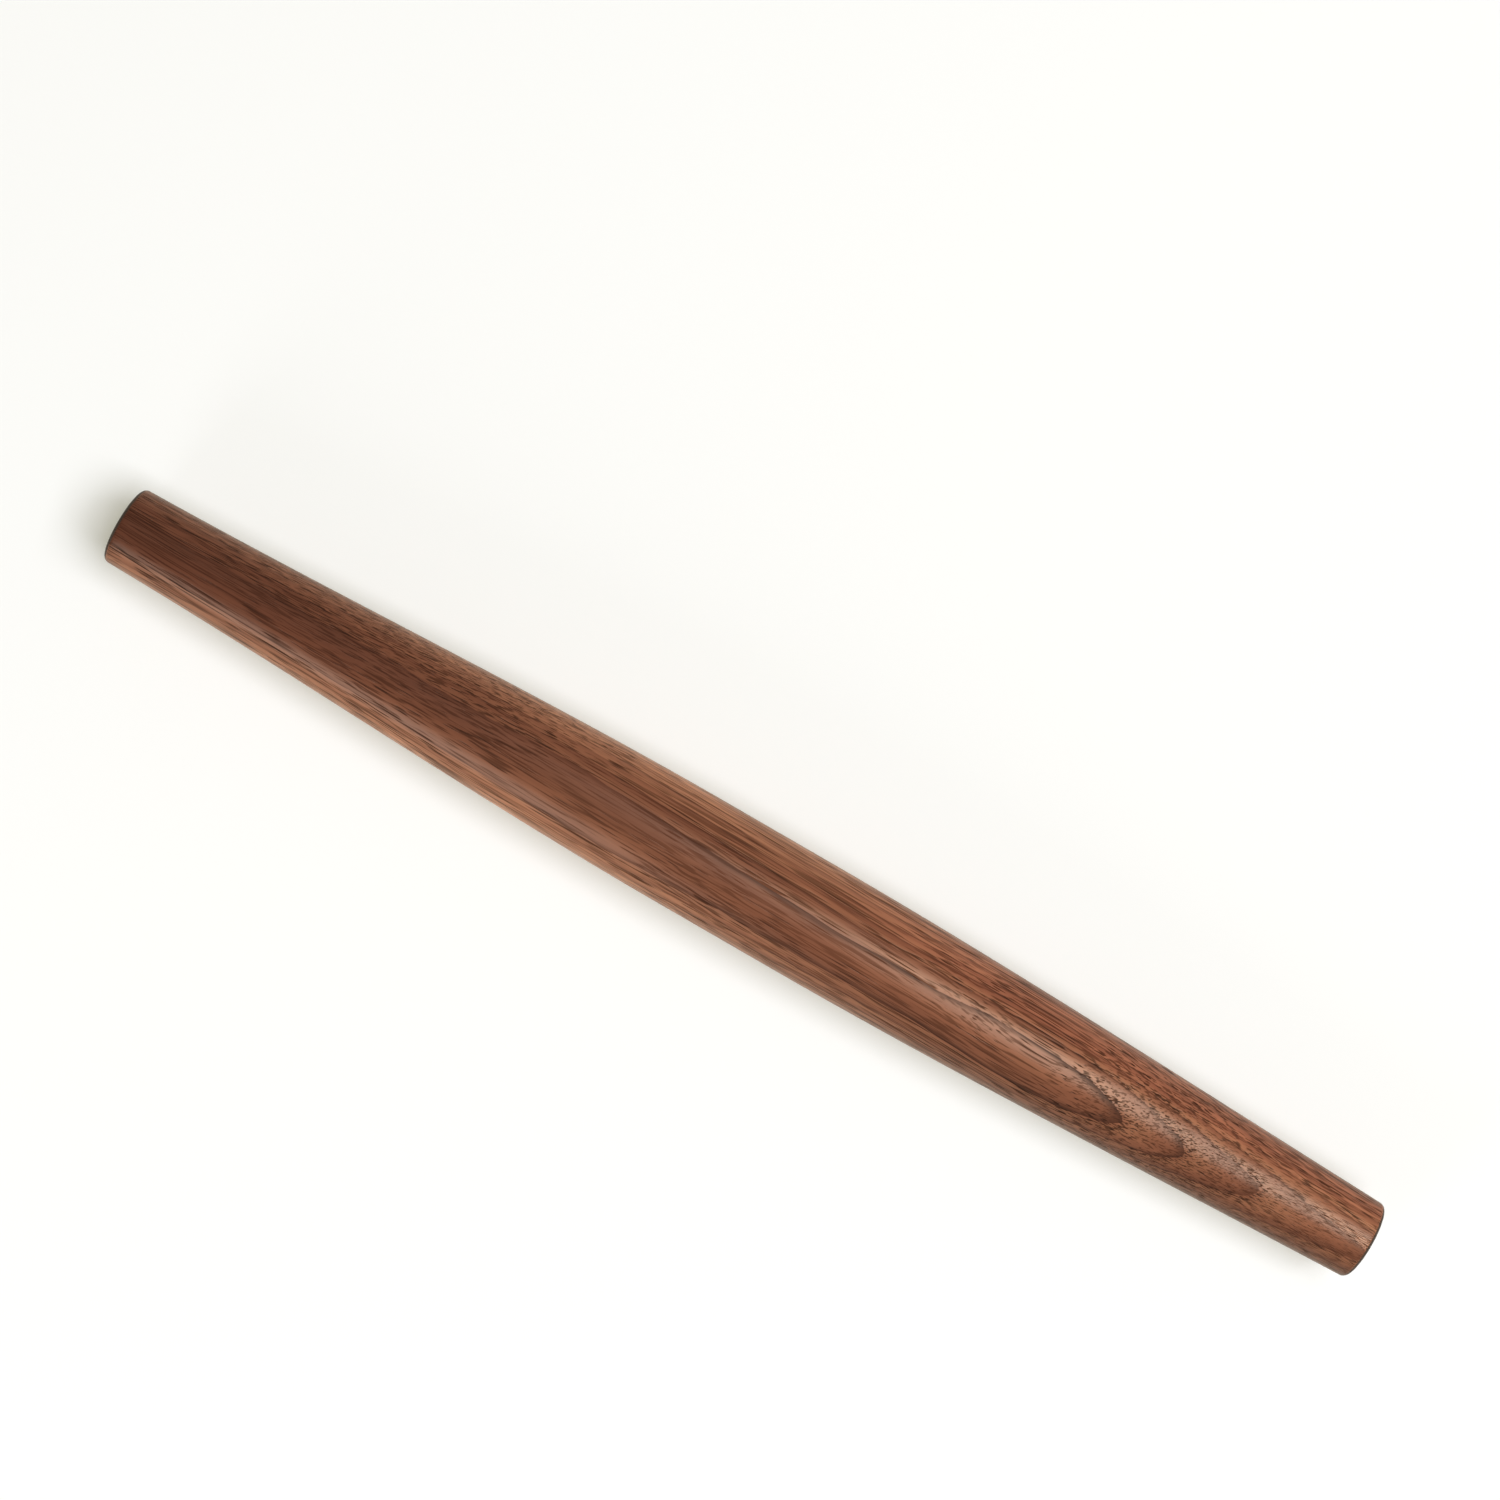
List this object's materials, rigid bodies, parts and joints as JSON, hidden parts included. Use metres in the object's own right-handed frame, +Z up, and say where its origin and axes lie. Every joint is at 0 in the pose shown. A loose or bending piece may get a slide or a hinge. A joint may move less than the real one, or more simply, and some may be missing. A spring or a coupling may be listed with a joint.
{
  "type": "french rolling pin",
  "caption": "Wooden rolling pin without handles, turned from a solid length of walnut: thickest at mid-length, with a long taper to a small flat face at each end.",
  "frame": {"origin": "on the turning axis at mid-length, halfway between the two end faces", "axes": "+X along the turning axis towards the end whose taper is fuller, +Z up and away from the surface that the pin lies on, +Y level and square to both"},
  "size_m": [0.521, 0.044, 0.0442],
  "materials": {
    "oiled_walnut": "turned, sanded and oiled, satin"
  },
  "bodies": {
    "root": {"turned_pin": "oiled_walnut"}
  },
  "joints": []
}
